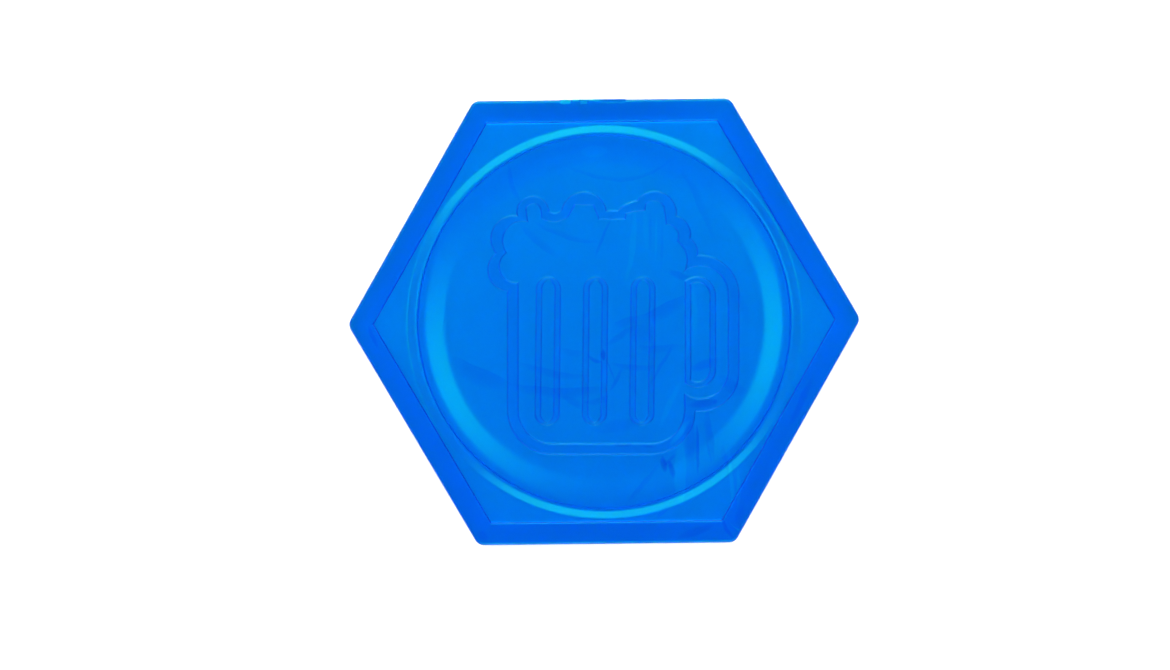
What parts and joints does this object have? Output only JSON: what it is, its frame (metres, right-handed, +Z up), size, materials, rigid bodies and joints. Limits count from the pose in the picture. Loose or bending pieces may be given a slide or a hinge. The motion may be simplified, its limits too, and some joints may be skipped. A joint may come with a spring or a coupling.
{
  "type": "drink token",
  "caption": "Hexagonal disc of transparent blue plastic with a raised rim, a round moulding and a beer mug pictogram; handed over in exchange for a drink.",
  "frame": {"origin": "middle of the underside, on the surface that the token lies on", "axes": "+Z up through the thickness, pictogram on top; +X through a corner, along the longest side-to-side distance; +Y towards the top of the pictogram, square to a flat edge"},
  "size_m": [0.0298, 0.026, 0.002],
  "materials": {
    "blue_plastic": "moulded transparent blue plastic, smooth and glossy, with faint darker flow streaks"
  },
  "bodies": {
    "root": {"token_body": "blue_plastic"}
  },
  "joints": []
}
